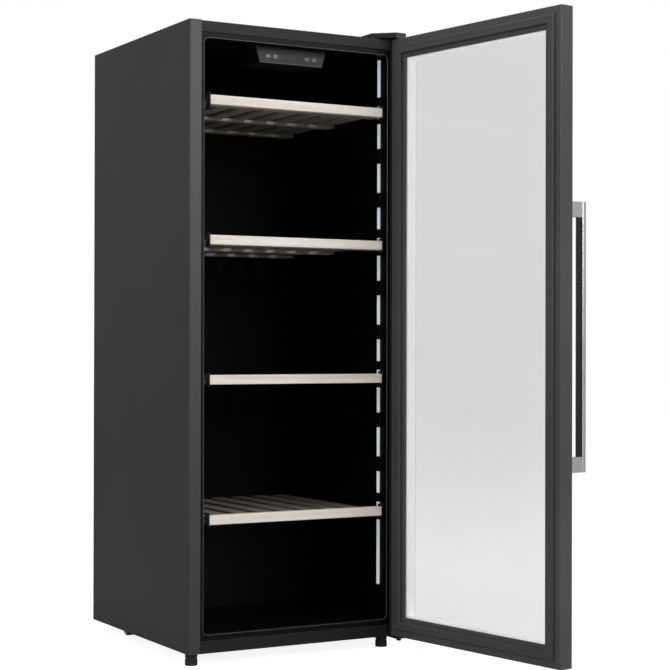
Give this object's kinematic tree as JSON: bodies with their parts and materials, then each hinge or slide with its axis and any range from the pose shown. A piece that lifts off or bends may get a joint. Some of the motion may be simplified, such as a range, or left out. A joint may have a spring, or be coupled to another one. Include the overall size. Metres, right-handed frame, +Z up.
{
  "type": "wine cooler",
  "caption": "Tall free-standing wine cooler with an open glass door on right-hand hinges, bar handle, sliding slatted shelves, side light strips and a control panel.",
  "frame": {"origin": "middle of the underside of the box around the cooler with its door open, on the floor that it stands on", "axes": "+Z up, the front faces -Y, the hinges are on the +X side"},
  "size_m": [0.75, 1.2164, 1.5676],
  "materials": {
    "body_paint": "satin",
    "rail_paint": "satin",
    "door_paint": "satin",
    "galvanised_steel": "satin",
    "black_steel": "satin",
    "foam": "matte",
    "liner_plastic": "satin",
    "duct_plastic": "matte",
    "fan_plastic": "matte",
    "copper": "satin",
    "coated_tube": "satin",
    "light_diffuser": "satin",
    "panel_plastic": "satin",
    "key_plastic": "satin",
    "display_glass": "gloss",
    "foot_rubber": "matte",
    "bush_nylon": "satin",
    "window_glass": "gloss",
    "spacer_metal": "satin",
    "trim_plastic": "satin",
    "gasket_vinyl": "matte",
    "brushed_aluminium": "satin",
    "insert_plastic": "satin",
    "beech": "satin"
  },
  "bodies": {
    "cabinet": {"back_panel": "galvanised_steel", "bottom_pan": "galvanised_steel", "compressor": "black_steel", "compressor_tray": "galvanised_steel", "condensate_tray": "duct_plastic", "condenser_coil": "coated_tube", "control_housing": "panel_plastic", "cord_inlet": "black_steel", "display_window": "display_glass", "duct_panel": "duct_plastic", "evaporator_coil": "copper", "fan_shroud": "duct_plastic", "foam_insulation": "foam", "front_bottom_rail": "rail_paint", "front_top_rail": "rail_paint", "hinge_bracket_bottom": "black_steel", "hinge_bracket_top": "black_steel", "hinge_cover_top": "liner_plastic", "hinge_pin_bottom": "galvanised_steel", "hinge_pin_top": "galvanised_steel", "inner_liner": "liner_plastic", "led_strip_left": "light_diffuser", "led_strip_right": "light_diffuser", "roller_bracket_left": "galvanised_steel", "roller_bracket_right": "galvanised_steel", "side_panel_left": "body_paint", "side_panel_right": "body_paint", "top_panel": "body_paint"},
    "door": {"door_stile_hinge": "door_paint", "door_stile_free": "door_paint", "door_rail_top": "door_paint", "door_rail_bottom": "door_paint", "hinge_bush_top": "bush_nylon", "hinge_bush_bottom": "bush_nylon", "door_inner_trim": "trim_plastic", "door_gasket": "gasket_vinyl", "inner_glass": "window_glass", "outer_glass": "window_glass", "glass_spacer": "spacer_metal", "handle_bar": "brushed_aluminium", "handle_post_top": "brushed_aluminium", "handle_post_bottom": "brushed_aluminium", "handle_insert": "insert_plastic"},
    "shelf_1": {"shelf_board_1": "beech", "shelf_deck_1": "beech"},
    "shelf_2": {"shelf_board_2": "beech", "shelf_deck_2": "beech"},
    "shelf_3": {"shelf_board_3": "beech", "shelf_deck_3": "beech"},
    "shelf_4": {"shelf_board_4": "beech", "shelf_deck_4": "beech"},
    "power_key": {"key_power": "key_plastic"},
    "light_key": {"key_light": "key_plastic"},
    "up_key": {"key_up": "key_plastic"},
    "down_key": {"key_down": "key_plastic"},
    "fan": {"fan_rotor": "fan_plastic"},
    "left_roller": {"rear_roller_left": "foot_rubber"},
    "left_foot": {"front_foot_left": "foot_rubber"},
    "right_roller": {"rear_roller_right": "foot_rubber"},
    "right_foot": {"front_foot_right": "foot_rubber"}
  },
  "joints": [
    {"name": "door_hinge", "type": "hinge", "parent": "cabinet", "child": "door", "pos_m": [0.20451, -0.03402, 0.791], "axis": [0, 0, 1], "range_deg": [-99, 6]},
    {"name": "shelf_1_slide", "type": "slide", "parent": "cabinet", "child": "shelf_1", "axis": [0, -1, 0], "range_m": [0, 0.3]},
    {"name": "shelf_2_slide", "type": "slide", "parent": "cabinet", "child": "shelf_2", "axis": [0, -1, 0], "range_m": [0, 0.3]},
    {"name": "shelf_3_slide", "type": "slide", "parent": "cabinet", "child": "shelf_3", "axis": [0, -1, 0], "range_m": [0, 0.3]},
    {"name": "shelf_4_slide", "type": "slide", "parent": "cabinet", "child": "shelf_4", "axis": [0, -1, 0], "range_m": [0, 0.3]},
    {"name": "key_power_press", "type": "slide", "parent": "cabinet", "child": "power_key", "axis": [0, 1, 0], "range_m": [0, 0.0008], "stiffness_N_per_m": 400},
    {"name": "key_light_press", "type": "slide", "parent": "cabinet", "child": "light_key", "axis": [0, 1, 0], "range_m": [0, 0.0008], "stiffness_N_per_m": 400},
    {"name": "key_up_press", "type": "slide", "parent": "cabinet", "child": "up_key", "axis": [0, 1, 0], "range_m": [0, 0.0008], "stiffness_N_per_m": 400},
    {"name": "key_down_press", "type": "slide", "parent": "cabinet", "child": "down_key", "axis": [0, 1, 0], "range_m": [0, 0.0008], "stiffness_N_per_m": 400},
    {"name": "fan_spin", "type": "hinge", "parent": "cabinet", "child": "fan", "pos_m": [-0.07749, 0.54958, 0.76425], "axis": [0, 1, 0], "continuous": true},
    {"name": "left_roller_spin", "type": "hinge", "parent": "cabinet", "child": "left_roller", "pos_m": [-0.32499, 0.46648, 0.012], "axis": [1, 0, 0], "continuous": true},
    {"name": "right_roller_spin", "type": "hinge", "parent": "cabinet", "child": "right_roller", "pos_m": [0.17001, 0.46648, 0.012], "axis": [1, 0, 0], "continuous": true},
    {"name": "left_foot_turn", "type": "hinge", "parent": "cabinet", "child": "left_foot", "pos_m": [-0.35899, 0.00448, 0], "axis": [0, 0, 1], "continuous": true},
    {"name": "right_foot_turn", "type": "hinge", "parent": "cabinet", "child": "right_foot", "pos_m": [0.17501, 0.00448, 0], "axis": [0, 0, 1], "continuous": true}
  ]
}
